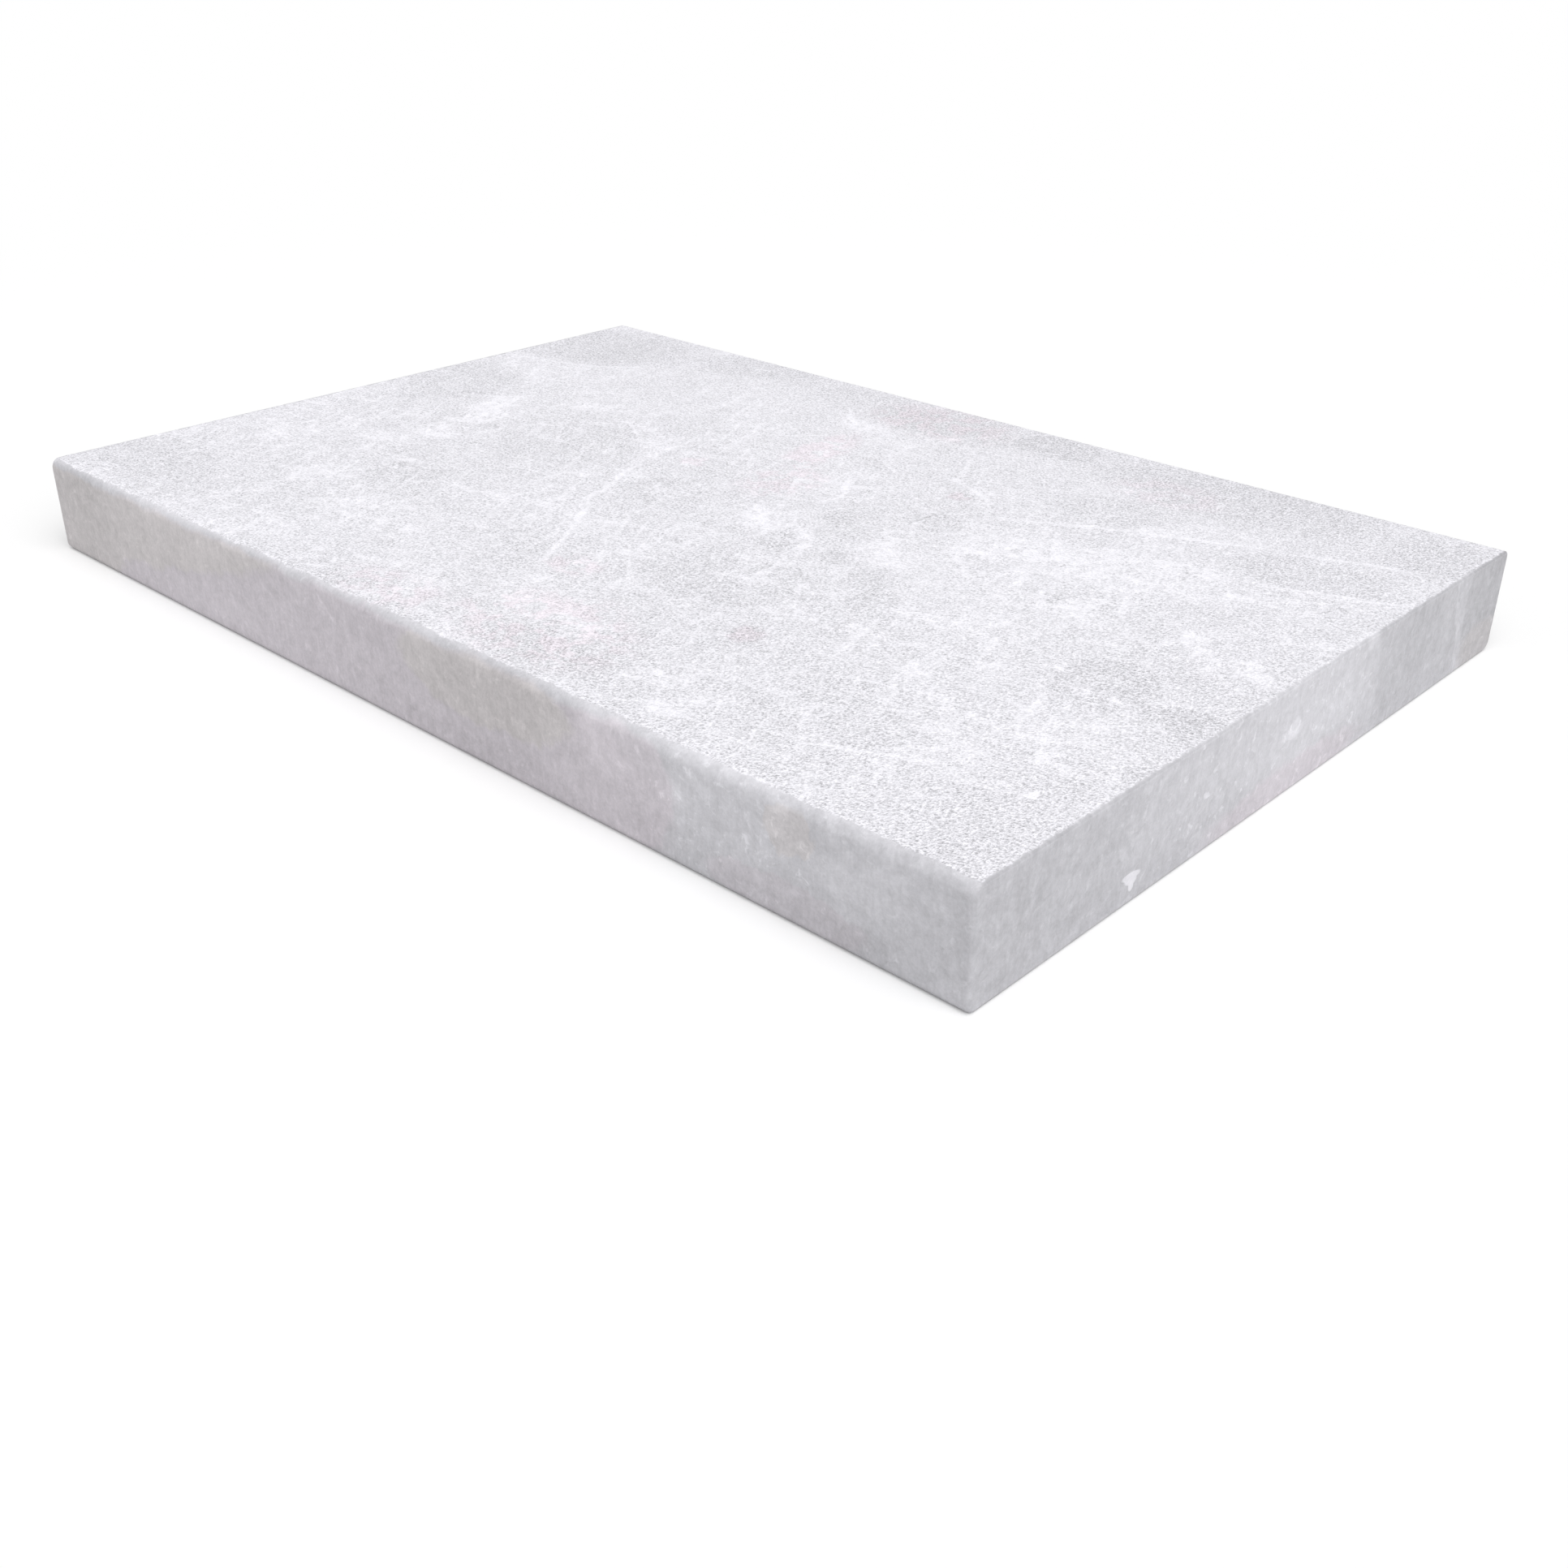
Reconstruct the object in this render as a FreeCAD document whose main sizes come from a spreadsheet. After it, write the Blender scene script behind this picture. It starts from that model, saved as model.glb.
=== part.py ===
import FreeCAD, Part
import math
import os
import Sketcher

# Wall coping stone: one slab of marble, sawn to size, that lies flat along the top of a wall.
# The long edges are rounded in the slab's section. The front top edge, which stays on show,
# has the largest round. The ends are sawn square, because they butt against the next slabs,
# and only a fine arris is taken off them.
# Frame: origin at the middle of the underside, +X along the slab, +Y from the eased front
# edge to the rear edge, +Z up. Sizes are in millimetres.

NODE = "coping_stone"

SIZES = {
    "slab_length": 610.0,  # end joint to end joint, along X
    "slab_width": 406.0,  # front face to rear face, along Y
    "slab_thickness": 50.0,  # underside to top, along Z
    "eased_edge_radius": 4.5,  # round of the front top edge
    "rear_top_radius": 2.0,  # round of the rear top edge
    "front_bottom_radius": 2.5,  # round of the front edge of the underside
    "rear_bottom_radius": 2.5,  # round of the rear edge of the underside
    "end_arris_radius": 1.0,  # fine round all about each sawn end
}

# Edge rounds in order about the section: size, side in Y, height as a share of the thickness
EDGE_ROUNDS = [
    ("front_bottom_radius", -1, 0),
    ("rear_bottom_radius", 1, 0),
    ("rear_top_radius", 1, 1),
    ("eased_edge_radius", -1, 1),
]

# Sketch numbers: the two ends of a line or arc, the origin point and the horizontal axis
START = 1
END = 2
ORIGIN = -1
HORIZONTAL_AXIS = -1


def add_sizes(doc):
    """The driving dimensions, one row each: the name, and the number under that alias."""
    sheet = doc.addObject("Spreadsheet::Sheet", "sizes")
    for row, (alias, value) in enumerate(SIZES.items(), start=1):
        sheet.set(f"A{row}", alias)
        sheet.set(f"B{row}", str(value))
        sheet.setAlias(f"B{row}", alias)
    doc.recompute()
    return sheet


def origin_plane(body, role):
    """One of the body's own origin planes."""
    return next(plane for plane in body.Origin.OriginFeatures if plane.Role == role)


def bind(sketch, constraint, name, expression):
    """Adds a dimension to the sketch, names it and ties it to the sheet."""
    sketch.renameConstraint(sketch.addConstraint(constraint), name)
    sketch.setExpression(f"Constraints.{name}", expression)


def draw_outline(sketch, sheet):
    """Four edge rounds and the four flat faces between them; returns both as sketch numbers."""
    half_width = sheet.slab_width / 2
    facing = FreeCAD.Vector(0, 0, 1)
    rounds = []
    arcs = []
    for number, (size, side, level) in enumerate(EDGE_ROUNDS):
        radius = sheet.get(size)
        height = sheet.slab_thickness - radius if level else radius
        centre = FreeCAD.Vector(side * (half_width - radius), height, 0)
        start_angle = math.pi + number * math.pi / 2
        circle = Part.Circle(centre, facing, radius)
        arcs.append(Part.ArcOfCircle(circle, start_angle, start_angle + math.pi / 2))
        rounds.append(sketch.addGeometry(arcs[-1]))
    flats = []
    for number, arc in enumerate(arcs):
        following = arcs[(number + 1) % len(arcs)]
        flats.append(sketch.addGeometry(Part.LineSegment(arc.EndPoint, following.StartPoint)))
    return rounds, flats


def add_section(body, sheet):
    """The slab's section across its length: flat faces, joined by rounds at the long edges."""
    sketch = body.newObject("Sketcher::SketchObject", "slab_section")
    sketch.AttachmentSupport = [(origin_plane(body, "YZ_Plane"), "")]
    sketch.MapMode = "FlatFace"
    rounds, flats = draw_outline(sketch, sheet)
    underside, rear_face, top_face, front_face = flats
    for number, flat in enumerate(flats):
        following = rounds[(number + 1) % len(rounds)]
        sketch.addConstraint(Sketcher.Constraint("Tangent", rounds[number], END, flat, START))
        sketch.addConstraint(Sketcher.Constraint("Tangent", flat, END, following, START))
    for level_face in (underside, top_face):
        sketch.addConstraint(Sketcher.Constraint("Horizontal", level_face))
    for upright_face in (rear_face, front_face):
        sketch.addConstraint(Sketcher.Constraint("Vertical", upright_face))
    sketch.addConstraint(
        Sketcher.Constraint("PointOnObject", underside, START, HORIZONTAL_AXIS)
    )
    for edge_round, (size, _side, _level) in zip(rounds, EDGE_ROUNDS, strict=True):
        radius = Sketcher.Constraint("Radius", edge_round, sheet.get(size))
        bind(sketch, radius, size, f"sizes.{size}")
    width = Sketcher.Constraint(
        "DistanceX", front_face, START, rear_face, START, sheet.slab_width
    )
    bind(sketch, width, "width", "sizes.slab_width")
    rear_offset = Sketcher.Constraint(
        "DistanceX", ORIGIN, START, rear_face, START, sheet.slab_width / 2
    )
    bind(sketch, rear_offset, "rear_offset", "sizes.slab_width / 2")
    thickness = Sketcher.Constraint(
        "DistanceY", underside, START, top_face, START, sheet.slab_thickness
    )
    bind(sketch, thickness, "thickness", "sizes.slab_thickness")
    return sketch


def add_slab(body, section):
    """The section run along X, half the length to each side of the origin."""
    slab = body.newObject("PartDesign::Pad", "slab")
    slab.Profile = section
    slab.SideType = "Symmetric"
    slab.setExpression("Length", "sizes.slab_length")
    return slab


def sawn_ends(slab):
    """The names of the two flat faces square to X."""
    names = []
    for number, face in enumerate(slab.Shape.Faces, start=1):
        flat = isinstance(face.Surface, Part.Plane)
        if flat and abs(face.Surface.Axis.x) > 0.99:
            names.append(f"Face{number}")
    return names


def add_end_arris(body, slab):
    """The fine round about both sawn ends."""
    arris = body.newObject("PartDesign::Fillet", "end_arris")
    arris.Base = (slab, sawn_ends(slab))
    arris.setExpression("Radius", "sizes.end_arris_radius")
    return arris


def make_coping_stone(doc, sheet):
    """The whole slab, as one body."""
    body = doc.addObject("PartDesign::Body", NODE)
    body.Label = NODE
    body.Placement = FreeCAD.Placement()
    section = add_section(body, sheet)
    slab = add_slab(body, section)
    doc.recompute()
    add_end_arris(body, slab)
    doc.recompute()
    return body


def check(doc, body):
    """Stops if any object failed, or if the slab isn't one sound solid."""
    for item in doc.Objects:
        if "Invalid" in item.State or "Error" in item.State:
            raise RuntimeError(f"{item.Label} failed: {item.State}")
    if body.Shape.isNull() or not body.Shape.isValid():
        raise RuntimeError(f"{body.Label} has no valid shape")
    if len(body.Shape.Solids) != 1:
        raise RuntimeError(f"{body.Label} isn't one solid")


def main():
    doc = FreeCAD.newDocument("coping")
    sheet = add_sizes(doc)
    body = make_coping_stone(doc, sheet)
    check(doc, body)
    os.makedirs("parts", exist_ok=True)
    body.Shape.exportStep(f"parts/{body.Label}.step")


main()
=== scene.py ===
import math
from collections import namedtuple

import bpy
import numpy as np
from mathutils import Matrix, Vector, noise


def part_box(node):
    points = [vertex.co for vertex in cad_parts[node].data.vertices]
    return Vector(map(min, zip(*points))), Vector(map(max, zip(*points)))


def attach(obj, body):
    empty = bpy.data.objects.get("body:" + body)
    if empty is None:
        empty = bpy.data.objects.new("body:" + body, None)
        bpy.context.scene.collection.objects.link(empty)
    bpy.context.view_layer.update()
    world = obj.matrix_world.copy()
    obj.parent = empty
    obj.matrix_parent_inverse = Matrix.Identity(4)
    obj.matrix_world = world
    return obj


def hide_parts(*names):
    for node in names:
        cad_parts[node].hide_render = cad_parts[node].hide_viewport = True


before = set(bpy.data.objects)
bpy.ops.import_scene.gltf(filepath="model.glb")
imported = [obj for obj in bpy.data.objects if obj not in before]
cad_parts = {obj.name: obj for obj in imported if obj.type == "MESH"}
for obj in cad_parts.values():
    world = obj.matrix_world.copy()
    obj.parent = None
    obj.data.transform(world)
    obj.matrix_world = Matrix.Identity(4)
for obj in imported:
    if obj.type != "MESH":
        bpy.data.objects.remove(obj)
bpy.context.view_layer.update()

# Wall coping stone: one slab of pale marble with a sandblasted top and honed sides.
# Lengths are in metres. Those in millimetres are written with MM, and those of the stone's
# figure, which its material reads in millimetres, say so.
MM = 0.001
NODE = "coping_stone"

# The slab's edges, as its outline in the photograph shows them. They stay inside the solid's own
# rounds. The eased front edge was rubbed by hand, so its curve starts softly and reaches further.
EASED_REACH = 7.0 * MM
EASED_POWER = 3.0
REAR_TOP_RADIUS = 3.0 * MM
FRONT_BOTTOM_RADIUS = 3.6 * MM
REAR_BOTTOM_RADIUS = 5.0 * MM
ARRIS_RADIUS = 1.5 * MM
ROUND_POWER = 2.0

# Mesh: the spacing of its points on each kind of face, and the steps round each edge
TOP_SPACING = 1.9 * MM
SIDE_SPACING = 3.0 * MM
UNDERSIDE_SPACING = 40.0 * MM
EASED_STEPS = 14
EDGE_STEPS = 6
ARRIS_STEPS = 4

# Relief of the blasted top: how deep it lies on average, and wavelength and height of its waves
RELIEF_DEPTH = 0.30 * MM
RELIEF_WAVES = [(4.2 * MM, 0.22 * MM), (11.0 * MM, 0.12 * MM), (55.0 * MM, 0.10 * MM)]
RELIEF_LIMIT = 0.75 * MM
# The blasting stops this far short of the front face, then fades in, along a border that wanders
# by these waves
BLAST_START = 3.0 * MM
BLAST_FULL = 5.5 * MM
BORDER_WAVES = [(14.0 * MM, 1.0 * MM), (4.0 * MM, 0.6 * MM)]
# Slow waves left by the hand that eased the front edge, and by honing on the sides
EASED_WAVES = [(15.0 * MM, 0.22 * MM), (42.0 * MM, 0.28 * MM)]
HONED_WAVES = [(85.0 * MM, 0.08 * MM)]
# How far a surface faces up, to the front or down where its finish starts and where it is full
BLASTED_FACING = (0.80, 0.98)
EASED_FACING = (0.05, 0.5)
UNDERSIDE_FACING = (0.1, 0.6)

# Camera, fitted to the outline of the slab in the photograph
IMAGE_SIDE = 1932
FOCAL_PIXELS = 2092.2
SENSOR_WIDTH = 36.0
CAMERA_PLACE = Vector((0.5649, -0.5724, 0.3321))
CAMERA_YAW = math.radians(-42.815)
CAMERA_PITCH = math.radians(28.780)
CAMERA_ROLL = math.radians(0.476)


def smooth_step(value, start, end):
    """0 up to start, 1 from end on, and a smooth rise between, for arrays."""
    share = np.clip((value - start) / (end - start), 0, 1)
    return share * share * (3 - 2 * share)


def noise_field(places, wavelength):
    """Smooth noise from -1 to 1 at each place of an array of points."""
    scaled = places.reshape(-1, 3) / wavelength
    values = [noise.noise(Vector(place)) for place in scaled]
    return np.array(values).reshape(places.shape[:-1])


# The slab's mesh

# Panels of the surface, each flat in the map that its colours are baked to
REAR, UNDERSIDE, FRONT, TOP = range(4)

# A long edge in the section: its corner, its curve, and the flat that follows it clockwise
Edge = namedtuple("Edge", "across height reach power steps panel flat_spacing flat_panel")


def edge_curve(reach, power, turn):
    """Points of an edge's curve about its centre: a circle where the power is 2, flatter towards
    its ends where it is more. The turn is the direction in which each point faces."""
    facing = np.stack([np.cos(turn), np.sin(turn)], axis=1)
    share = np.abs(facing)
    length = np.sum(share ** (power / (power - 1)), axis=1, keepdims=True) ** (-1 / power)
    return reach * np.sign(facing.round(9)) * length * share ** (1 / (power - 1)), facing


def section_edges(half_width, thickness):
    """The section's four edges, clockwise from the rear top one."""
    plain = (ROUND_POWER, EDGE_STEPS)
    eased = (EASED_POWER, EASED_STEPS)
    return [
        Edge(half_width, thickness, REAR_TOP_RADIUS, *plain, REAR, SIDE_SPACING, REAR),
        Edge(half_width, 0, REAR_BOTTOM_RADIUS, *plain, REAR, UNDERSIDE_SPACING, UNDERSIDE),
        Edge(-half_width, 0, FRONT_BOTTOM_RADIUS, *plain, FRONT, SIDE_SPACING, FRONT),
        Edge(-half_width, thickness, EASED_REACH, *eased, FRONT, TOP_SPACING, TOP),
    ]


def section_outline(half_width, thickness):
    """Points and outward normals about the section, clockwise from the rear top edge, with the
    panel that starts at each point."""
    edges = section_edges(half_width, thickness)
    rounds = []
    for number, edge in enumerate(edges):
        centre_across = edge.across - math.copysign(edge.reach, edge.across)
        centre_height = edge.height - edge.reach if edge.height else edge.reach
        turn = math.pi / 2 * (1 - number - np.linspace(0, 1, edge.steps + 1))
        curve, facing = edge_curve(edge.reach, edge.power, turn)
        rounds.append((np.array([centre_across, centre_height]) + curve, facing))
    points = []
    normals = []
    panels = []
    for number, edge in enumerate(edges):
        round_points, round_normals = rounds[number]
        next_points, _next_normals = rounds[(number + 1) % len(rounds)]
        begin = round_points[-1]
        end = next_points[0]
        count = max(1, round(np.linalg.norm(end - begin) / edge.flat_spacing))
        shares = np.linspace(0, 1, count + 1)[1:-1, None]
        points += [round_points, begin + shares * (end - begin)]
        normals += [round_normals, np.repeat(round_normals[-1:], count - 1, axis=0)]
        panels += [edge.panel] * edge.steps + [edge.flat_panel] * count
    return np.concatenate(points), np.concatenate(normals), np.array(panels)


def stations(half_length):
    """Places along X, and how far each is turned into the arris: 0 on the flat, 1 at the end."""
    flat_end = half_length - ARRIS_RADIUS
    turn = np.linspace(0, math.pi / 2, ARRIS_STEPS + 1)
    arris = flat_end + ARRIS_RADIUS * np.sin(turn)
    count = round(2 * flat_end / TOP_SPACING)
    flat = np.linspace(-flat_end, flat_end, count + 1)[1:-1]
    along = np.concatenate([-arris[::-1], flat, arris])
    turned = np.concatenate([-turn[::-1], np.zeros_like(flat), turn])
    return along, turned


def waves_about_zero(points, waves):
    """The sum of waves of noise, each of its height either way."""
    return sum(height * noise_field(points, length) for length, height in waves)


def waves_from_zero(points, waves):
    """The sum of waves of noise, each from zero to its height."""
    return sum(height * (0.5 + 0.5 * noise_field(points, length)) for length, height in waves)


def relief_depth(points, normals, half_width):
    """How far each point of the surface lies below the plain slab. The underside stays flat."""
    from_front = points[..., 1] + half_width + waves_about_zero(points, BORDER_WAVES)
    forwards, upwards = -normals[..., 1], normals[..., 2]
    blasted = smooth_step(from_front, BLAST_START, BLAST_FULL)
    blasted = blasted * smooth_step(upwards, *BLASTED_FACING)
    eased = smooth_step(forwards, *EASED_FACING) * smooth_step(upwards, *EASED_FACING)
    honed = (1 - blasted) * (1 - eased) * (1 - smooth_step(-upwards, *UNDERSIDE_FACING))
    relief = RELIEF_DEPTH + waves_about_zero(points, RELIEF_WAVES)
    depth = blasted * np.clip(relief, 0, RELIEF_LIMIT)
    depth = depth + eased * waves_from_zero(points, EASED_WAVES)
    return depth + honed * waves_from_zero(points, HONED_WAVES)


# The map for baked colours, in a square of this side: where each panel and end lies in it, and
# its scale. All in metres of stone.
MAP_SIDE = 716 * MM
PANEL_PLACES = {
    TOP: (4 * MM, 4 * MM, 1.0),
    FRONT: (4 * MM, 412 * MM, 1.0),
    REAR: (4 * MM, 474 * MM, 1.0),
    UNDERSIDE: (418 * MM, 536 * MM, 0.42),
}
END_PLACES = [(4 * MM, 536 * MM), (4 * MM, 594 * MM)]


def bake_map(along, outline, panels, half_width):
    """Places in the map, for the corners of each face in the order in which faces are made."""
    following = np.roll(outline, -1, axis=0)
    lengths = np.linalg.norm(following - outline, axis=1)
    reach = np.zeros(len(panels))
    for panel in PANEL_PLACES:
        mine = panels == panel
        reach[mine] = np.cumsum(lengths[mine]) - lengths[mine]
    left, up, scale = np.array([PANEL_PLACES[panel] for panel in panels]).T
    near = left + scale * (along[:-1, None] - along[0])
    far = left + scale * (along[1:, None] - along[0])
    low = np.broadcast_to(up + scale * reach, near.shape)
    high = np.broadcast_to(up + scale * (reach + lengths), near.shape)
    corners = [(near, low), (far, low), (far, high), (near, high)]
    quads = np.stack([np.stack(corner, axis=-1) for corner in corners], axis=2)
    ends = [outline + np.array([left + half_width, up]) for left, up in END_PLACES]
    ends[1] = ends[1][::-1]
    return np.concatenate([quads.reshape(-1, 2), *ends]) / MAP_SIDE


def slab_points(along, turned, outline, outline_normals, half_width):
    """The surface with its relief: one section at each station, drawn in along the arris."""
    inset = ARRIS_RADIUS * (1 - np.cos(turned))[:, None, None]
    section = outline[None] - inset * outline_normals[None]
    points = np.empty((*section.shape[:2], 3))
    points[..., 0] = along[:, None]
    points[..., 1:] = section
    normals = np.empty_like(points)
    normals[..., 0] = np.sin(turned)[:, None]
    normals[..., 1:] = np.cos(turned)[:, None, None] * outline_normals[None]
    depth = relief_depth(points, normals, half_width) * np.cos(turned)[:, None]
    return points - depth[..., None] * normals


def slab_faces(rows, columns):
    """Faces from each section to the next, and last the two flat ends."""
    faces = []
    for row in range(rows - 1):
        here, ahead = row * columns, (row + 1) * columns
        for column in range(columns):
            following = (column + 1) % columns
            faces.append((here + column, ahead + column, ahead + following, here + following))
    last = (rows - 1) * columns
    faces.append(tuple(range(columns)))
    faces.append(tuple(range(last + columns - 1, last - 1, -1)))
    return faces


def slab_mesh(low, high):
    """The whole slab as one closed mesh."""
    half_length = (high.x - low.x) / 2
    half_width = (high.y - low.y) / 2
    outline, outline_normals, panels = section_outline(half_width, high.z - low.z)
    along, turned = stations(half_length)
    points = slab_points(along, turned, outline, outline_normals, half_width)
    mesh = bpy.data.meshes.new("marble_slab")
    mesh.from_pydata(points.reshape(-1, 3).tolist(), [], slab_faces(len(along), len(outline)))
    mesh.shade_smooth()
    for end_face in mesh.polygons[-2:]:
        end_face.use_smooth = False
    places = bake_map(along, outline, panels, half_width)
    mesh.uv_layers.new(name="OFBake").data.foreach_set("uv", places.ravel())
    mesh.update()
    return mesh


# Materials


class Graph:
    """Adds shader nodes to one material. Each method returns an output socket."""

    def __init__(self, name):
        self.material = bpy.data.materials.new(name)
        self.material.use_nodes = True
        self.tree = self.material.node_tree
        self.shader = self.tree.nodes["Principled BSDF"]
        self.output = self.tree.nodes["Material Output"]

    def feed(self, socket, value):
        """Links a socket, or sets a plain value."""
        if isinstance(value, bpy.types.NodeSocket):
            self.tree.links.new(value, socket)
        else:
            socket.default_value = value

    def node(self, kind, values, output=0, **settings):
        """Any node, with its inputs by name or number."""
        made = self.tree.nodes.new("ShaderNode" + kind)
        for name, value in settings.items():
            setattr(made, name, value)
        for socket, value in values.items():
            self.feed(made.inputs[socket], value)
        return made.outputs[output]

    def maths(self, operation, *values):
        """One step of arithmetic."""
        return self.node("Math", dict(enumerate(values)), operation=operation)

    def add(self, *values):
        """The sum of two or more values."""
        total = values[0]
        for value in values[1:]:
            total = self.maths("ADD", total, value)
        return total

    def times(self, *values):
        """The product of two or more values."""
        total = values[0]
        for value in values[1:]:
            total = self.maths("MULTIPLY", total, value)
        return total

    def ramp(self, value, start, end, low=0.0, high=1.0):
        """A smooth change from low, at start, to high, at end."""
        values = {"Value": value, "From Min": start, "From Max": end, "To Min": low, "To Max": high}
        return self.node("MapRange", values, interpolation_type="SMOOTHSTEP")

    def swing(self, value, amount):
        """A noise of 0 to 1 turned into one about zero, of the given amount each way."""
        return self.maths("MULTIPLY_ADD", value, 2 * amount, -amount)

    def axes(self, place):
        """The three parts of a place: along, across and height."""
        return self.node("SeparateXYZ", {0: place}).node.outputs

    def noise(self, place, size, detail=2.0, roughness=0.5, output=0):
        """Cloudy noise of 0 to 1, with its largest forms of the given size."""
        values = {"Vector": place, "Scale": 1 / size, "Detail": detail, "Roughness": roughness}
        return self.node("TexNoise", values, output)

    def cells(self, place, size, feature, output=0):
        """Cells of about the given size, packed like crystals."""
        values = {"Vector": place, "Scale": 1 / size}
        return self.node("TexVoronoi", values, output, feature=feature)

    def between(self, share, first, second):
        """A number between two numbers."""
        return self.node("Mix", {0: share, 2: first, 3: second})

    def blend(self, share, first, second):
        """A colour between two colours."""
        return self.node("Mix", {0: share, 6: first, 7: second}, 2, data_type="RGBA")

    def stirred(self, place, size, amount):
        """The place pushed about by a noise, so that what is drawn there gets a ragged outline."""
        push = self.noise(place, size, 3.0, output=1)
        centred = self.node("VectorMath", {0: push, 1: (0.5, 0.5, 0.5)}, operation="SUBTRACT")
        values = {0: centred, 1: (amount, amount, amount), 2: place}
        return self.node("VectorMath", values, operation="MULTIPLY_ADD")

    def threads(self, place, size, angle, width):
        """Thin lines along one direction on the top, where a drawn-out noise passes its middle."""
        values = {"Vector": place, "Rotation": (0, 0, math.radians(angle)), "Scale": (4.5, 1, 1)}
        along = self.node("Mapping", values, vector_type="TEXTURE")
        middle = self.maths("ABSOLUTE", self.swing(self.noise(along, size, 2.0), 1.0))
        return self.ramp(middle, 0.0, width, 1.0, 0.0)

    def marks(self, place, marks):
        """The sum of soft ellipsoids, each with its strength at the core."""
        total = 0.0
        for centre, radii, turn, core, strength in marks:
            nearness = self.node("TexGradient", {0: place}, 1, gradient_type="SPHERICAL")
            mapping = nearness.node.texture_mapping
            mapping.vector_type = "TEXTURE"
            mapping.translation = centre
            mapping.rotation = turn
            mapping.scale = radii
            total = self.add(total, self.ramp(nearness, 0.0, 1 - core, 0.0, strength))
        return total


# Figure of the stone, in millimetres: marks on a face, as the centre's two places on it, half
# length, half width, angle in degrees and strength, light above zero. On the top the places
# are x and y and the angle runs from +X to +Y, on the front x and z, and +X to +Z, and on the
# right end y and z, and +Y to +Z.
TOP_Z = 50.0
FRONT_Y = -203.0
END_X = 305.0
MARK_DEPTH = 14.0

# White clouds
TOP_CLOUDS = [
    (-217, 26, 15, 23, 20, 2.6),
    (-203, 3, 13, 19, -10, 2.4),
    (-183, -14, 10, 14, 0, 2.0),
    (-198, -34, 20, 14, 20, 2.4),
    (-212, -57, 26, 12, 20, 2.0),
    (-170, 58, 27, 9, 23, 1.6),
    (-35, 138, 30, 15, -10, 1.6),
    (-5, 128, 28, 9, 10, 1.4),
    (26, -11, 32, 12, -38, 2.6),
    (62, -17, 16, 6, -50, 2.6),
    (102, -4, 26, 18, 0, 1.8),
    (200, 62, 95, 30, 8, 1.3),
    (150, 45, 60, 30, 0, 1.0),
    (257, 8, 20, 7, -45, 2.6),
    (291, -2, 20, 7, -38, 2.2),
    (205, 3, 20, 12, -30, 1.6),
    (190, -90, 14, 13, 0, 1.4),
    (-40, -70, 16, 11, -40, 1.6),
    (142, -182, 16, 13, 0, 1.5),
    (245, -142, 26, 22, 40, 1.1),
    (172, 110, 18, 10, 40, 1.3),
    (175, -20, 75, 52, 0, 0.9),
    (-185, -115, 26, 20, 60, 1.0),
    (-265, -90, 60, 50, 0, 0.5),
    (-90, -150, 85, 45, 10, 0.6),
    (230, -100, 75, 56, 0, 0.6),
]

# Large grey clasts fade out at their edges
TOP_GREYS = [
    (-270, 155, 80, 52, 22, -2.2),
    (-162, 188, 58, 28, 18, -1.5),
    (-280, 40, 58, 48, 0, -1.1),
    (-10, 175, 58, 36, 0, -1.4),
    (180, 175, 95, 42, 5, -1.7),
    (287, 170, 32, 38, 0, -1.5),
    (140, 118, 36, 24, 10, -1.0),
    (-132, 3, 50, 54, 0, -0.9),
    (-275, -162, 52, 42, 0, -0.9),
    (62, -176, 48, 26, 10, -1.0),
    (80, 200, 270, 48, 4, -0.95),
    (225, -140, 75, 55, 0, -0.2),
]

# Small grey clasts have clear outlines
TOP_CLASTS = [
    (65, 183, 28, 20, 0, -1.9),
    (255, 108, 40, 20, 5, -1.2),
    (250, -50, 23, 26, 0, -1.3),
    (292, -57, 16, 12, 10, -1.3),
    (187, 8, 9, 9, 0, -1.4),
    (52, 19, 9, 11, 20, -1.4),
    (90, 46, 15, 14, 0, -1.1),
    (117, -112, 10, 10, 0, -1.4),
    (132, -49, 11, 14, -20, -1.1),
    (52, -24, 12, 12, 0, -1.3),
    (86, -22, 11, 9, -20, -1.2),
    (115, -34, 15, 9, -25, -1.1),
    (65, -72, 44, 34, 0, -0.9),
    (-35, -12, 30, 18, -20, -0.8),
    (7, 93, 13, 7, 0, -1.2),
    (75, 85, 8, 6, -40, -1.4),
    (-150, -92, 23, 25, 0, -0.8),
    (-267, 0, 10, 9, 0, -0.7),
    (-187, -10, 9, 9, 0, -1.4),
]

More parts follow.
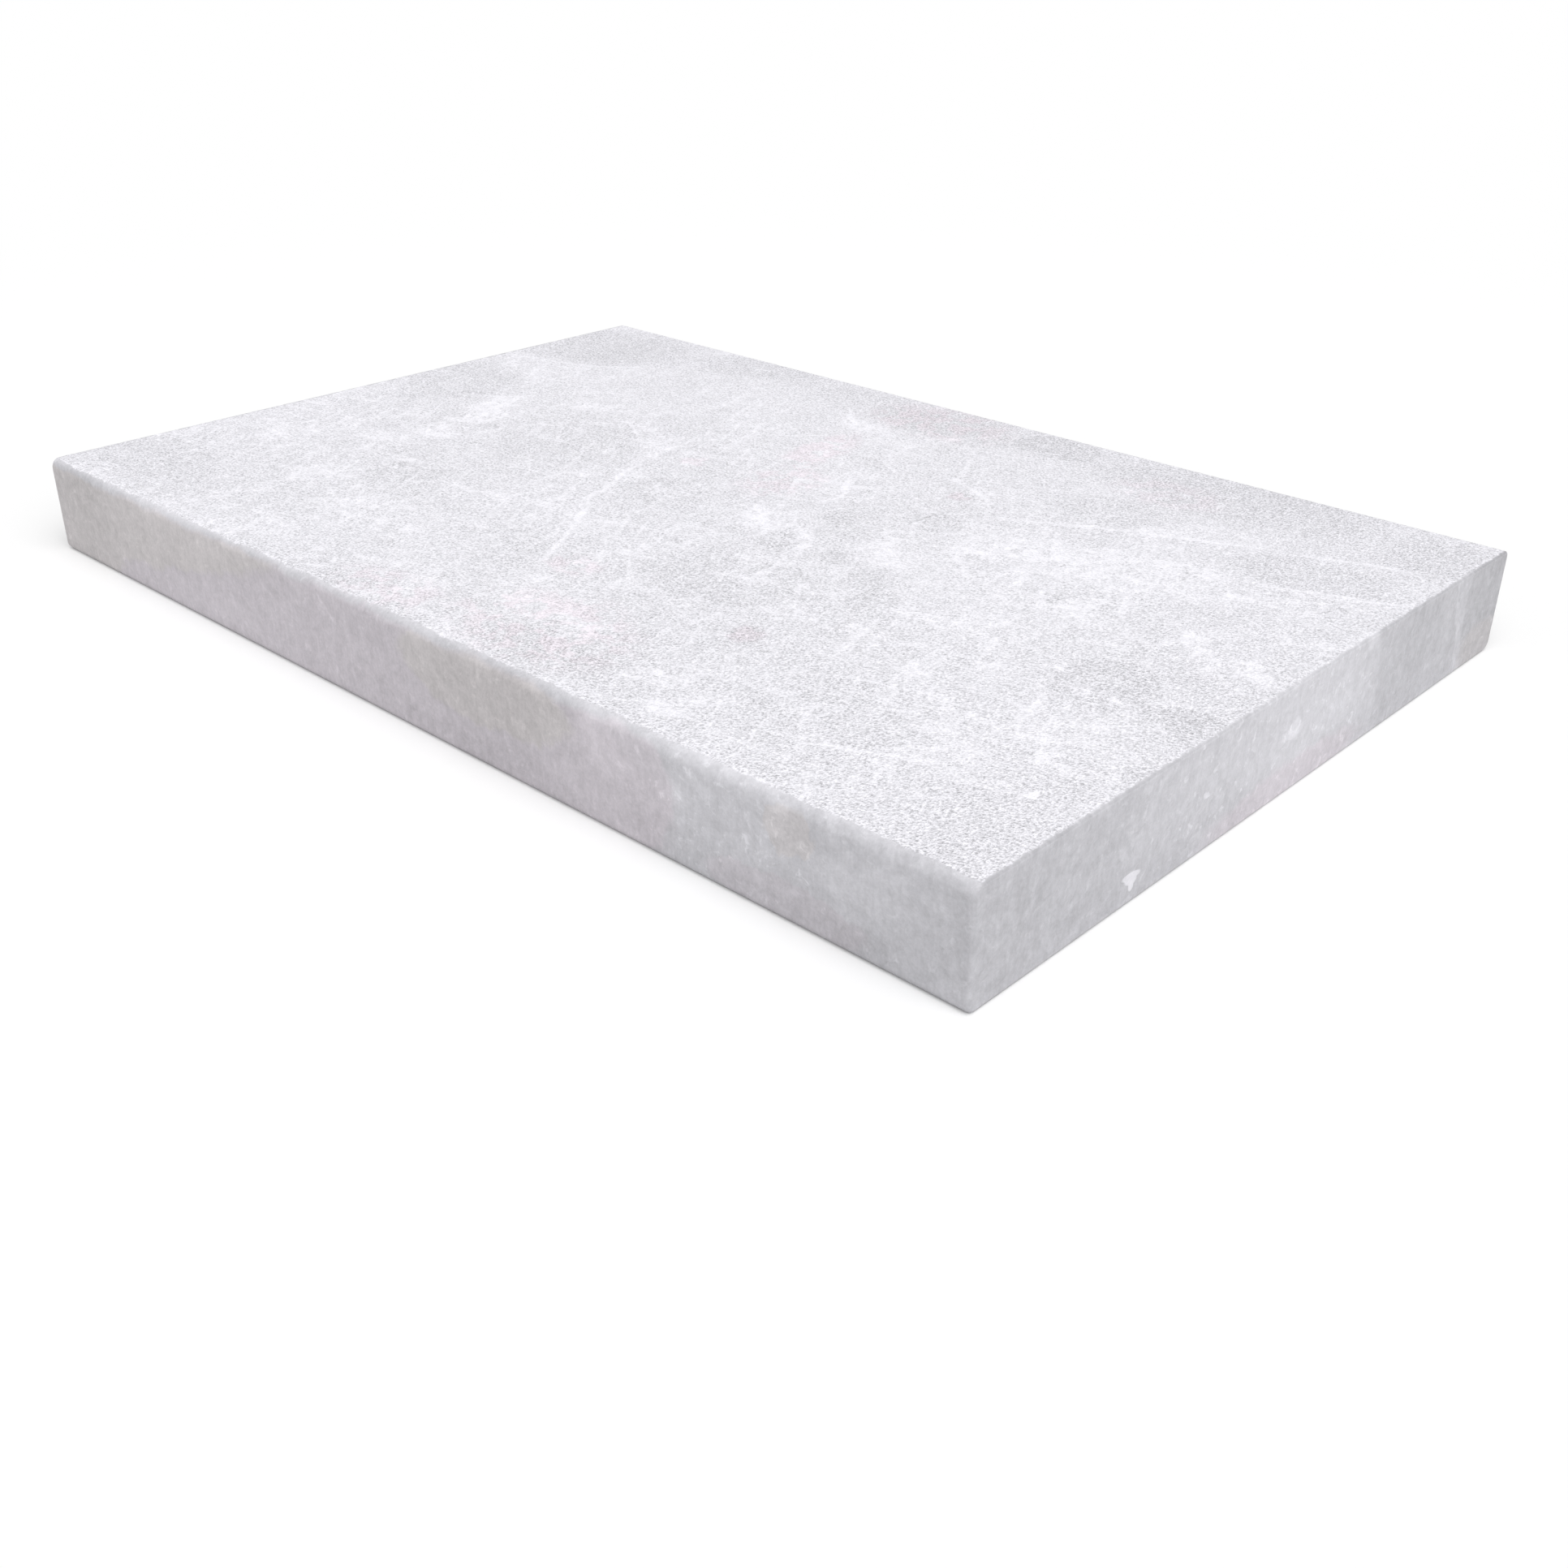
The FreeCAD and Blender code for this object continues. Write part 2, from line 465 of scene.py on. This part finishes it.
# White veins
TOP_VEINS = [
    (-105, 110, 40, 2.6, -66, 3.0),
    (-86, 45, 50, 2.4, -80, 2.8),
    (-90, 125, 44, 2.4, -88, 2.2),
    (-66, -22, 52, 2.8, -66, 4.6),
    (-41, -65, 44, 3.0, -54, 4.0),
    (-16, -102, 46, 2.8, -61, 4.6),
    (-15, -62, 24, 2.4, -60, 3.2),
    (136, 88, 50, 3.0, 27, 4.2),
    (195, 114, 46, 2.8, 22, 3.8),
    (265, 139, 52, 2.8, 16, 3.4),
    (76, 95, 50, 2.6, -22, 3.4),
    (272, 95, 46, 3.0, 21, 4.0),
    (-270, 108, 50, 3.0, 12, 3.2),
    (-228, 127, 38, 3.0, 36, 2.6),
    (1, 44, 23, 2.4, -66, 4.4),
    (26, 53, 24, 2.2, -60, 3.0),
    (-140, -97, 25, 2.4, -63, 4.2),
    (-178, -105, 24, 2.6, 58, 2.8),
    (12, 155, 33, 2.6, 49, 3.4),
    (-50, 146, 34, 2.6, -40, 3.2),
    (-50, 105, 34, 2.4, 40, 2.4),
    (50, 120, 30, 2.6, -66, 3.2),
    (72, 173, 26, 2.4, 27, 3.0),
    (97, 180, 24, 2.2, -30, 2.4),
    (132, 155, 26, 2.4, -80, 2.4),
    (176, 165, 26, 2.2, -88, 2.4),
    (217, -160, 34, 2.4, 24, 3.8),
    (-255, -95, 44, 2.8, 4, 2.6),
    (35, -103, 36, 2.4, -43, 3.0),
    (-124, 123, 34, 2.8, -79, 2.8),
    (-118, 42, 40, 2.2, -32, 2.6),
    (150, -80, 34, 2.4, -75, 3.0),
]

# A white chip of stone, three-cornered, and short dark cracks
TOP_CHIPS = [
    (282.4, -143.8, 3.2, 1.5, 5, 9.0),
    (282.4, -142.2, 1.9, 2.6, 0, 9.0),
    (282.4, -140.4, 1.1, 2.2, 0, 9.0),
    (82, 46, 11.0, 0.9, 83, -4.0),
    (36.5, 54.5, 8.0, 0.8, 81, -3.4),
    (291, -53, 12.0, 0.7, 18, -2.2),
    (254, -71, 4.0, 0.8, -40, -2.5),
    (58, -147, 4.0, 0.8, 30, -2.5),
]

# Where the stone is rosy
TOP_ROSY = [
    (-10, 175, 56, 34, 0, 1.0),
    (-25, 90, 18, 44, 10, 1.0),
    (-5, 40, 26, 34, 0, 0.9),
    (-60, 30, 10, 9, 0, 0.8),
    (7, -110, 18, 14, 0, 1.0),
    (50, -165, 60, 40, 0, 1.0),
    (-30, -185, 40, 22, 0, 0.9),
    (117, -112, 11, 11, 0, 0.9),
    (75, 85, 9, 7, 0, 1.0),
    (150, 160, 40, 24, 0, 0.6),
]

# Light and dark patches of the front face, and then along its eased edge. The dark rows low on the
# face are painted shade along its foot
FRONT_PATCHES = [
    (-190, 42, 62, 15, 0, 0.8),
    (-150, 12, 55, 13, 0, 0.9),
    (-287, 20, 62, 52, 0, -2.2),
    (55, 28, 62, 30, 0, -1.7),
    # Painted shade low on the face, along its foot: this row and the next two
    (40, 6, 55, 10, 0, -1.2),
    (35, 10, 11, 7, 0, -0.8),
    (-15, 10, 42, 12, 0, -0.8),
    (128, 38, 22, 22, 0, 2.6),
    (185, 36, 66, 30, 0, 2.0),
    (265, 31, 40, 20, 0, 1.8),
    # Painted shade low on the face, along its foot: this row and the next
    (88, 8, 42, 12, 0, -1.4),
    (230, 5, 85, 12, 0, -1.8),
    (-190, 50, 60, 5, 0, 1.2),
    (-50, 50, 26, 5, 0, 0.9),
    (65, 50, 48, 5, 0, -0.9),
    (197, 50, 20, 5, 0, 0.8),
    (275, 50, 26, 5, 0, -0.9),
]

# White flecks
FRONT_FLECKS = [
    (-53, 37, 12, 1.8, -45, 1.6),
    (211, 20, 3.4, 2.8, 0, 2.0),
    (227, 12, 6.0, 4.4, 0, 1.6),
    (167, 32, 5.0, 8.5, 0, 2.2),
    (182, 38, 7.0, 3.5, -20, 1.6),
    (219, 46, 7.0, 4.4, 0, 2.0),
    (172, 21, 3.0, 2.4, 0, 1.6),
    (245, 26, 5.0, 3.6, 30, 1.4),
]

# Where the matrix between the clasts shows on a side, thick with white flecks
FRONT_MATRIX = [
    (195, 32, 75, 40, 0, 1.0),
]

END_MATRIX = [
    (-8, 36, 125, 70, 0, 1.3),
]

# Where the front face is rosy or beige
FRONT_ROSY = [
    (-75, 12, 250, 58, 0, 1.0),
    (132, 26, 38, 34, 0, 0.9),
    (222, 8, 42, 10, 0, 0.6),
]

FRONT_BEIGE = [
    (-235, 38, 175, 27, 8, 1.0),
    (-290, 20, 60, 30, 0, 1.0),
    (55, 37, 60, 19, 0, 1.0),
    (224, 38, 13, 11, 0, 0.7),
]

# Light and dark patches of the right end
END_PATCHES = [
    (-10, 34, 130, 70, 0, 2.6),
    (22, 34, 75, 34, 0, 1.4),
    (-75, 4, 90, 24, 0, -1.8),
    (-172, 25, 60, 60, 0, -1.2),
    (105, 16, 32, 20, 0, -0.8),
    (147, 40, 14, 16, 15, 1.2),
    (-45, 18, 32, 14, 0, -1.0),
    (40, 8, 52, 12, 0, -0.9),
    (130, 25, 95, 60, 0, 0.7),
]

# Clasts that the end face cuts through, with sharp outlines
END_CLASTS = [
    (118, 25, 40, 130, 15, -1.7),
    (199, 34, 37, 60, 0, -3.1),
]

# White flecks, and a vein
END_FLECKS = [
    (3, 28.5, 9.5, 3.8, -6, 3.4),
    (6, 32, 4.0, 5.0, 30, 2.8),
    (-4, 26.5, 4.5, 2.6, 10, 1.8),
    (157, 25, 32, 2.4, 105, 2.6),
    (65, 48, 5, 6, 0, 3.0),
    (-102, 47, 6, 4.0, 20, 2.0),
    (-117, 24, 3.5, 2.4, 30, 1.6),
    (-64, 10, 4.0, 2.6, 0, 1.4),
    (-95, 40, 14, 2.8, 50, 1.3),
    (28, 12, 9, 2.6, -30, 1.2),
]

# A white chip of stone, three-cornered
END_CHIPS = [
    (-109, 12.0, 7.0, 1.9, -5, 9.0),
    (-109, 10.2, 4.6, 2.3, -12, 9.0),
    (-108.4, 7.8, 2.0, 2.8, 0, 9.0),
]

# Where the right end is rosy or beige
END_ROSY = [
    (5, 4, 75, 13, 0, 0.9),
]

END_BEIGE = [
    (186, 8, 24, 15, 0, 0.6),
]


def top_marks(rows, core):
    """Marks on the top as ellipsoids that reach a little way into the stone."""
    made = []
    for along, across, half_length, half_width, angle, strength in rows:
        radii = (half_length, half_width, MARK_DEPTH)
        turn = (0, 0, math.radians(angle))
        made.append(((along, across, TOP_Z), radii, turn, core, strength))
    return made


def front_marks(rows, core):
    """The same on the front face."""
    made = []
    for along, height, half_length, half_width, angle, strength in rows:
        radii = (half_length, MARK_DEPTH, half_width)
        turn = (0, math.radians(-angle), 0)
        made.append(((along, FRONT_Y, height), radii, turn, core, strength))
    return made


def end_marks(rows, core):
    """The same on the right end."""
    made = []
    for across, height, half_length, half_width, angle, strength in rows:
        radii = (MARK_DEPTH, half_length, half_width)
        turn = (math.radians(angle), 0, 0)
        made.append(((END_X, across, height), radii, turn, core, strength))
    return made


# Reflectance and roughness of the blasted top and of the honed sides, and the stone's tints
BLASTED = 0.820
BLASTED_LIMIT = 0.985
BLASTED_ROUGHNESS = 0.85
HONED = 0.625
HONED_ROUGHNESS = 0.5
BLUISH = (1.010, 1.0, 1.055, 1)
ROSY = (1.036, 0.974, 1.043, 1)
BEIGE = (1.052, 1.0, 1.012, 1)
# Pits that the blasting left in the top: their size in millimetres, the painted shade in their
# colour (darker in the hollows, lighter on the rises), how deep, and how strongly that depth shows
PIT_SIZE = 1.22
PIT_PAINTED_SHADE = 0.45
PIT_DEPTH = 1.3 * MM
PIT_RELIEF = 0.52
# How much painted shade darkens the arris of the sawn ends below the top, and at it
ARRIS_PAINTED_SHADE = (0.07, 0.17)
# What one step of a mark's strength changes, as a share of the reflectance
TOP_STEP = 0.038
SIDE_STEP = 0.05


def blasted_share(graph, place, half_size):
    """1 on the sandblasted top, 0 on the honed sides and eased edge, with a ragged border."""
    along, across, height = graph.axes(place)
    waves = graph.swing(graph.noise(place, 14.0, 2.0), 2.0)
    ragged = graph.swing(graph.noise(place, 3.0, 2.0), 1.0)
    from_front = graph.add(across, half_size.y / MM)
    wider = graph.ramp(along, -150.0, 60.0, 0.0, -1.0)
    border = graph.ramp(graph.add(from_front, waves, ragged, wider), 2.5, 3.3)
    faded = graph.ramp(graph.add(from_front, wider), 0.4, 4.0)
    front = graph.add(graph.times(border, 0.65), graph.times(faded, 0.35))
    rear = graph.ramp(across, half_size.y / MM - 0.6, half_size.y / MM - 1.8)
    from_end = graph.maths("SUBTRACT", half_size.x / MM, graph.maths("ABSOLUTE", along))
    ends = graph.ramp(graph.add(from_end, graph.times(ragged, 1.6)), 0.9, 2.0)
    up = graph.ramp(height, TOP_Z - 3.0, TOP_Z - 1.6)
    return graph.times(front, rear, ends, up)


def arris_painted_shade(graph, place, half_length):
    """1 on the faces, and less along the arris of the sawn ends, where painted shade dims its
    round, most at the top.
    """
    along, _across, height = graph.axes(place)
    from_end = graph.maths("SUBTRACT", half_length / MM, graph.maths("ABSOLUTE", along))
    begun = graph.ramp(from_end, 0.0, 0.25)
    ended = graph.ramp(from_end, 0.5, 1.4, 1.0, 0.0)
    painted_shade = graph.ramp(height, TOP_Z - 8.0, TOP_Z, *ARRIS_PAINTED_SHADE)
    return graph.maths("SUBTRACT", 1.0, graph.times(begun, ended, painted_shade))


def top_tone(graph, place, wandering, ragged):
    """Lightness of the figure on the top: clouds, grey clasts, and a net of white veins."""
    clouds = graph.swing(graph.noise(ragged, 55.0, 6.0, 0.62), 1.3)
    curds = graph.swing(graph.noise(ragged, 7.0, 4.0, 0.68), 1.5)
    large_clasts = graph.swing(graph.cells(ragged, 19.0, "F1", 1), 0.3)
    small_clasts = graph.swing(graph.cells(ragged, 8.0, "F1", 1), 0.3)
    _along, across, _height = graph.axes(place)
    calmer = graph.ramp(across, 60.0, 150.0, 1.0, 0.4)
    mottle = graph.times(graph.add(curds, large_clasts, small_clasts), calmer)
    patchy = graph.ramp(graph.noise(place, 40.0, 3.0), 0.38, 0.58, 0.3, 1.0)
    broken = graph.ramp(graph.noise(place, 4.5, 3.0, 0.6), 0.38, 0.60, 0.5, 1.15)
    steep = graph.threads(wandering, 13.0, -66, 0.08)
    level = graph.threads(wandering, 15.0, 20, 0.07)
    net = graph.times(graph.add(steep, level), patchy, calmer, 2.5)
    seams = graph.ramp(graph.cells(ragged, 12.0, "DISTANCE_TO_EDGE"), 0.0, 0.11, 0.9, 0.0)
    lacy = graph.ramp(graph.noise(ragged, 6.0, 4.0, 0.7), 0.42, 0.58, 0.25, 1.6)
    veins = graph.marks(wandering, top_marks(TOP_VEINS, 0.0))
    patches = graph.times(graph.marks(ragged, top_marks(TOP_CLOUDS, 0.35)), lacy)
    clasts = graph.marks(ragged, top_marks(TOP_GREYS, 0.5) + top_marks(TOP_CLASTS, 0.86))
    chips = graph.marks(place, top_marks(TOP_CHIPS, 0.7))
    white = graph.times(graph.add(net, veins, graph.times(seams, patchy)), broken)
    return graph.add(clouds, mottle, white, patches, clasts, chips)


def side_tone(graph, place, ragged):
    """Lightness of the figure on the honed sides: soft mottling, white flecks and faint streaks."""
    clouds = graph.swing(graph.noise(ragged, 34.0, 5.0, 0.62), 2.6)
    mottle = graph.swing(graph.noise(ragged, 6.0, 4.0, 0.66), 5.0)
    matrix = graph.add(
        graph.marks(ragged, front_marks(FRONT_MATRIX, 0.4)),
        graph.marks(ragged, end_marks(END_MATRIX, 0.4)),
    )
    fleck = graph.ramp(graph.noise(ragged, 4.0, 3.0, 0.6), 0.56, 0.74, 0.0, 2.6)
    fleck = graph.times(fleck, graph.add(1.0, matrix))
    upright = graph.node("Mapping", {"Vector": place, "Scale": (1, 1, 6)}, vector_type="TEXTURE")
    streaks = graph.swing(graph.noise(upright, 1.6, 2.0), 1.6)
    grain = graph.swing(graph.noise(place, 1.6, 3.0, 0.75), 3.5)
    patches = graph.add(
        graph.marks(ragged, front_marks(FRONT_PATCHES, 0.3)),
        graph.marks(ragged, end_marks(END_PATCHES, 0.3)),
        graph.marks(place, end_marks(END_CLASTS, 0.93)),
    )
    flecks = graph.add(
        graph.marks(ragged, front_marks(FRONT_FLECKS, 0.4)),
        graph.marks(ragged, end_marks(END_FLECKS, 0.5)),
    )
    chips = graph.maths("MINIMUM", graph.marks(place, end_marks(END_CHIPS, 0.7)), 9.0)
    return graph.add(clouds, mottle, fleck, streaks, grain, patches, flecks, chips, -0.3)


def stone_tint(graph, place, ragged):
    """Hue of the stone: bluish white, rosy or beige in places. The eased edge stays bluish."""
    _along, _across, height = graph.axes(place)
    below_edge = graph.ramp(height, TOP_Z - 1.5, TOP_Z - 5.0)
    broken = graph.ramp(graph.noise(place, 9.0, 3.0, 0.6), 0.42, 0.56)
    top_rosy = graph.marks(ragged, top_marks(TOP_ROSY, 0.5))
    front_rosy = graph.marks(ragged, front_marks(FRONT_ROSY, 0.85))
    front_beige = graph.marks(ragged, front_marks(FRONT_BEIGE, 0.85))
    rosy = graph.add(
        graph.times(top_rosy, broken),
        graph.times(front_rosy, below_edge),
        graph.marks(ragged, end_marks(END_ROSY, 0.6)),
    )
    beige = graph.add(
        graph.times(front_beige, below_edge),
        graph.marks(ragged, end_marks(END_BEIGE, 0.6)),
    )
    return graph.blend(beige, graph.blend(rosy, BLUISH, ROSY), BEIGE)


def marble(half_size):
    """Brecciated marble, pitted where the top is blasted, with the shade of the hollows painted
    into its colour.
    """
    graph = Graph("marble")
    metres = graph.node("TexCoord", {}, "Object")
    place = graph.node("VectorMath", {0: metres, "Scale": 1 / MM}, operation="SCALE")
    wandering = graph.stirred(place, 28.0, 10.0)
    ragged = graph.stirred(wandering, 5.0, 7.0)

    # Pits are shallower in the lighter stone, and a little deeper towards the front. Their shade is
    # painted
    # into the colour: darker in the hollows, lighter on the rises between them
    tone = top_tone(graph, place, wandering, ragged)
    grain = graph.swing(graph.noise(place, PIT_SIZE, 1.0, 0.9), PIT_PAINTED_SHADE)
    _along, across, _height = graph.axes(place)
    uneven = graph.ramp(across, -180.0, 140.0, 1.18, 1.06)
    depth = graph.times(graph.ramp(tone, -1.5, 3.5, 1.45, 0.7), uneven)
    painted_pit_shade = graph.times(grain, depth)
    # The top's lightness, less the painted shade of the pits
    top_light = graph.maths("SUBTRACT", graph.maths("MULTIPLY_ADD", tone, TOP_STEP, 1.0), painted_pit_shade)
    side_light = graph.maths("MULTIPLY_ADD", side_tone(graph, place, ragged), SIDE_STEP, 1.0)

    blasted = blasted_share(graph, place, half_size)
    top_value = graph.maths("MINIMUM", graph.times(top_light, BLASTED), BLASTED_LIMIT)
    # The honed sides' colour, with painted shade along the arris of the ends
    side_value = graph.times(side_light, arris_painted_shade(graph, place, half_size.x), HONED)
    value = graph.between(blasted, side_value, top_value)
    tint = stone_tint(graph, wandering, ragged)
    colour = graph.node("VectorMath", {0: tint, "Scale": value}, operation="SCALE")
    roughness = graph.ramp(blasted, 0.0, 1.0, HONED_ROUGHNESS, BLASTED_ROUGHNESS)
    relief = graph.times(depth, blasted, PIT_RELIEF)
    values = {"Strength": relief, "Distance": PIT_DEPTH, "Height": grain}
    bumps = graph.node("Bump", values, invert=True)
    graph.feed(graph.shader.inputs["Base Color"], colour)
    graph.feed(graph.shader.inputs["Roughness"], roughness)
    graph.feed(graph.shader.inputs["Normal"], bumps)
    return graph.material


# Studio

# The floor's colour to the eye, and for the light that it throws back on the slab
FLOOR_SIDE = 30.0
FLOOR_WHITE = (0.97, 0.97, 0.97, 1)
FLOOR_BOUNCE = (0.50, 0.50, 0.50, 1)
# How far from the slab's middle the floor starts to go over to plain white, and where it has
FLOOR_NEAR = 0.55
FLOOR_FAR = 1.1
# Light: the even world, and a broad lamp by the direction from the slab towards it
WORLD_LIGHT = 0.45
SUN_TOWARDS = Vector((0.365, -0.24, 0.58))
SUN_STRENGTH = 0.739 * math.pi
SUN_ANGLE = math.radians(70)


def seen_share(graph):
    """1 for rays that show the floor to the eye, straight or by a gloss, 0 for bounced light."""
    paths = graph.node("LightPath", {}, "Is Camera Ray").node.outputs
    shown = graph.maths("MAXIMUM", paths["Is Camera Ray"], paths["Is Glossy Ray"])
    return graph.maths("MAXIMUM", shown, paths["Is Transmission Ray"])


def floor_material():
    """A matt white floor that keeps the slab's shadow, and goes over to plain white far off."""
    graph = Graph("studio_floor")
    seen = seen_share(graph)
    graph.feed(graph.shader.inputs["Base Color"], graph.blend(seen, FLOOR_BOUNCE, FLOOR_WHITE))
    graph.shader.inputs["Roughness"].default_value = 1.0
    graph.shader.inputs["Specular IOR Level"].default_value = 0.0
    place = graph.node("TexCoord", {}, "Object")
    reach = graph.node("VectorMath", {0: place}, "Value", operation="LENGTH")
    far = graph.times(graph.ramp(reach, FLOOR_NEAR, FLOOR_FAR), seen)
    white = graph.node("Emission", {"Color": (1, 1, 1, 1), "Strength": 1.0})
    shader = graph.node("MixShader", {0: far, 1: graph.shader.outputs[0], 2: white})
    graph.feed(graph.output.inputs["Surface"], shader)
    return graph.material


def add_floor():
    """The floor that the slab lies on."""
    half = FLOOR_SIDE / 2
    corners = [(-half, -half, 0), (half, -half, 0), (half, half, 0), (-half, half, 0)]
    mesh = bpy.data.meshes.new("studio_floor")
    mesh.from_pydata(corners, [], [(0, 1, 2, 3)])
    mesh.materials.append(floor_material())
    floor = bpy.data.objects.new("studio_floor", mesh)
    bpy.context.scene.collection.objects.link(floor)


def add_light():
    """An even world and one broad, soft lamp, high on the right."""
    world = bpy.data.worlds.new("studio")
    world.use_nodes = True
    background = world.node_tree.nodes["Background"]
    background.inputs["Color"].default_value = (1, 1, 1, 1)
    background.inputs["Strength"].default_value = WORLD_LIGHT
    bpy.context.scene.world = world
    lamp = bpy.data.lights.new("softbox", "SUN")
    lamp.energy = SUN_STRENGTH
    lamp.angle = SUN_ANGLE
    sun = bpy.data.objects.new("softbox", lamp)
    sun.rotation_euler = SUN_TOWARDS.to_track_quat("Z", "Y").to_euler()
    bpy.context.scene.collection.objects.link(sun)


def add_camera():
    """The photograph's own view."""
    ahead = Vector((
        math.sin(CAMERA_YAW) * math.cos(CAMERA_PITCH),
        math.cos(CAMERA_YAW) * math.cos(CAMERA_PITCH),
        -math.sin(CAMERA_PITCH),
    ))
    level_right = Vector((math.cos(CAMERA_YAW), -math.sin(CAMERA_YAW), 0))
    level_up = level_right.cross(ahead)
    right = math.cos(CAMERA_ROLL) * level_right + math.sin(CAMERA_ROLL) * level_up
    up = math.cos(CAMERA_ROLL) * level_up - math.sin(CAMERA_ROLL) * level_right
    lens = bpy.data.cameras.new("camera")
    lens.sensor_width = SENSOR_WIDTH
    lens.lens = SENSOR_WIDTH * FOCAL_PIXELS / IMAGE_SIDE
    lens.clip_start = 10 * MM
    camera = bpy.data.objects.new("camera", lens)
    turned = Matrix((right, up, -ahead)).transposed()
    camera.matrix_world = Matrix.Translation(CAMERA_PLACE) @ turned.to_4x4()
    bpy.context.scene.collection.objects.link(camera)
    bpy.context.scene.camera = camera


def add_slab():
    """The slab, dressed, in place of the plain solid."""
    low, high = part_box(NODE)
    mesh = slab_mesh(low, high)
    mesh.materials.append(marble((high - low) / 2))
    slab = bpy.data.objects.new("marble_slab", mesh)
    bpy.context.scene.collection.objects.link(slab)
    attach(slab, "root")
    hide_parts(NODE)


add_slab()
add_floor()
add_light()
add_camera()
bpy.context.scene.view_settings.view_transform = "Standard"
